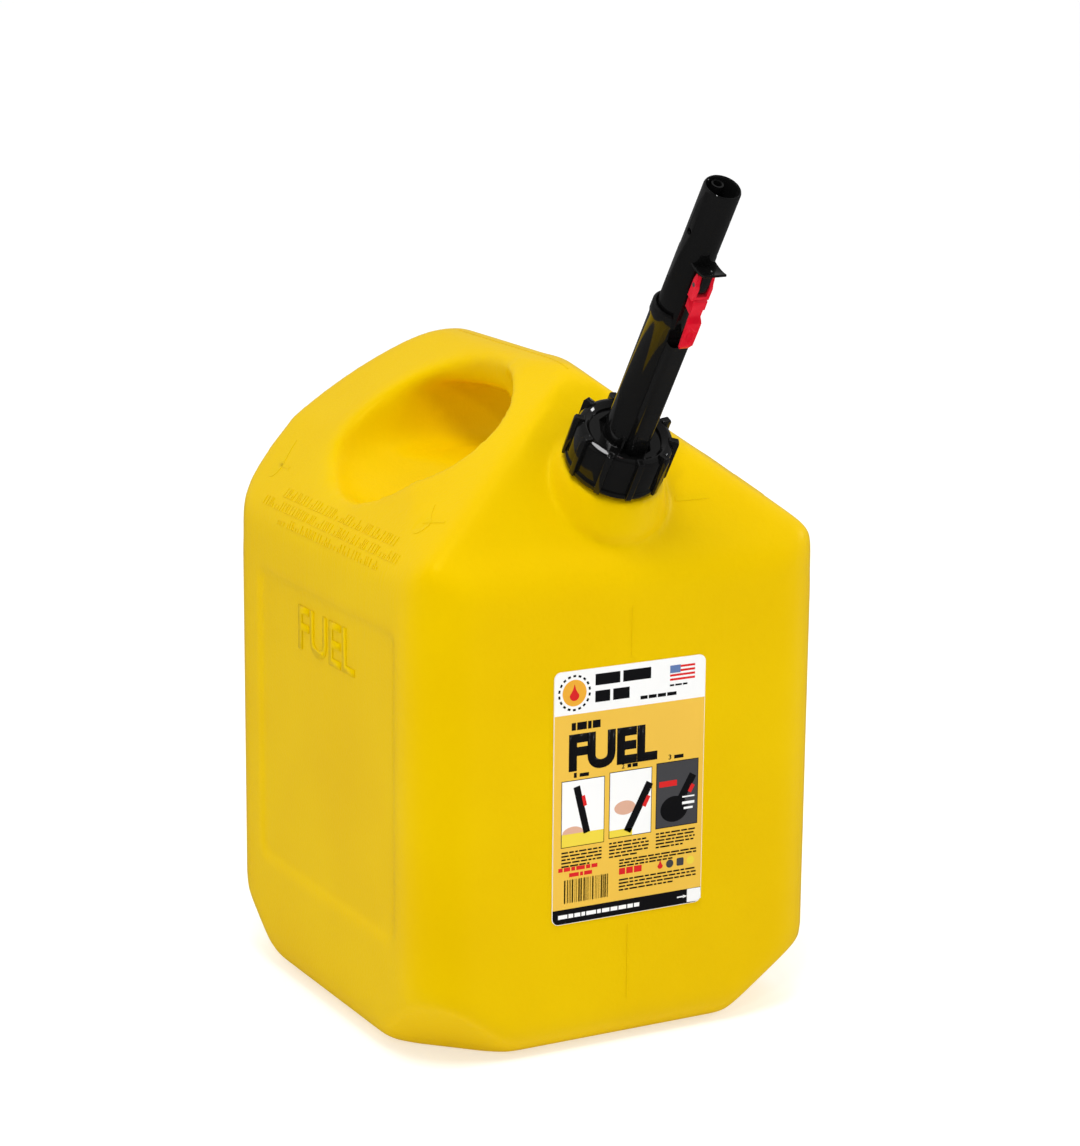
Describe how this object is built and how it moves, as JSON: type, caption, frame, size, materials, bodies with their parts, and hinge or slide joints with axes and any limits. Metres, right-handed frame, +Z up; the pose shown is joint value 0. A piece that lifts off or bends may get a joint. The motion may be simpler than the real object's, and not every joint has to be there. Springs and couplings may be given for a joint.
{
  "type": "fuel can",
  "caption": "Square blow-moulded fuel can with bridge handle, screw collar and a telescopic spring-loaded pouring spout with a latch.",
  "frame": {"origin": "centre of the flat base, on the plane the can stands on", "axes": "+Z up; the front face with the label and the spout faces -Y; +X to the right seen from the front"},
  "size_m": [0.248, 0.3405, 0.4777],
  "materials": {
    "can_plastic": "satin, fine stipple",
    "spout_plastic": "gloss",
    "latch_plastic": "satin",
    "label_film": "printed film",
    "seal_rubber": "matt",
    "steel": "drawn wire"
  },
  "bodies": {
    "can": {"tank_body": "can_plastic", "label_base": "label_film", "label_leaf": "label_film", "arrestor_ring": "spout_plastic", "arrestor_screen": "steel"},
    "seal": {"collar_seal": "seal_rubber"},
    "collar": {"screw_collar": "spout_plastic"},
    "spout": {"base_tube": "spout_plastic", "wiper_seal": "seal_rubber", "return_spring": "steel"},
    "nozzle": {"nozzle": "spout_plastic", "valve_rod": "steel", "valve_poppet": "spout_plastic", "poppet_seal": "seal_rubber", "rod_spider": "spout_plastic", "poppet_clip": "steel", "rod_clip": "steel", "vent_tube": "spout_plastic", "vent_carrier": "spout_plastic"},
    "latch": {"safety_latch": "latch_plastic", "latch_pin": "steel"}
  },
  "joints": [
    {"name": "vent_lift", "type": "slide", "parent": "can", "child": "seal", "axis": [0, -0.5519, 0.8339], "range_m": [0, 0.0075]},
    {"name": "collar_turn", "type": "hinge", "parent": "seal", "child": "collar", "pos_m": [0, -0.1122, 0.3301], "axis": [0, -0.5519, 0.8339], "range_deg": [0, 540.01]},
    {"name": "spout_swivel", "type": "hinge", "parent": "seal", "child": "spout", "pos_m": [0, -0.1122, 0.3301], "axis": [0, -0.5519, 0.8339], "continuous": true},
    {"name": "nozzle_push", "type": "slide", "parent": "spout", "child": "nozzle", "axis": [0, 0.5519, -0.8339], "range_m": [0, 0.022], "stiffness_N_per_m": 300, "springref_m": -0.02, "deforming": ["return_spring"]},
    {"name": "latch_lift", "type": "hinge", "parent": "nozzle", "child": "latch", "pos_m": [0, -0.18864, 0.42221], "axis": [-1, 0, 0], "range_deg": [0, 12], "stiffness_Nm_per_rad": 0.01, "springref_deg": -11.46}
  ],
  "couplings": [
    {"joint": "collar_turn", "follows": "vent_lift", "rad_per_m": 1256.6}
  ]
}
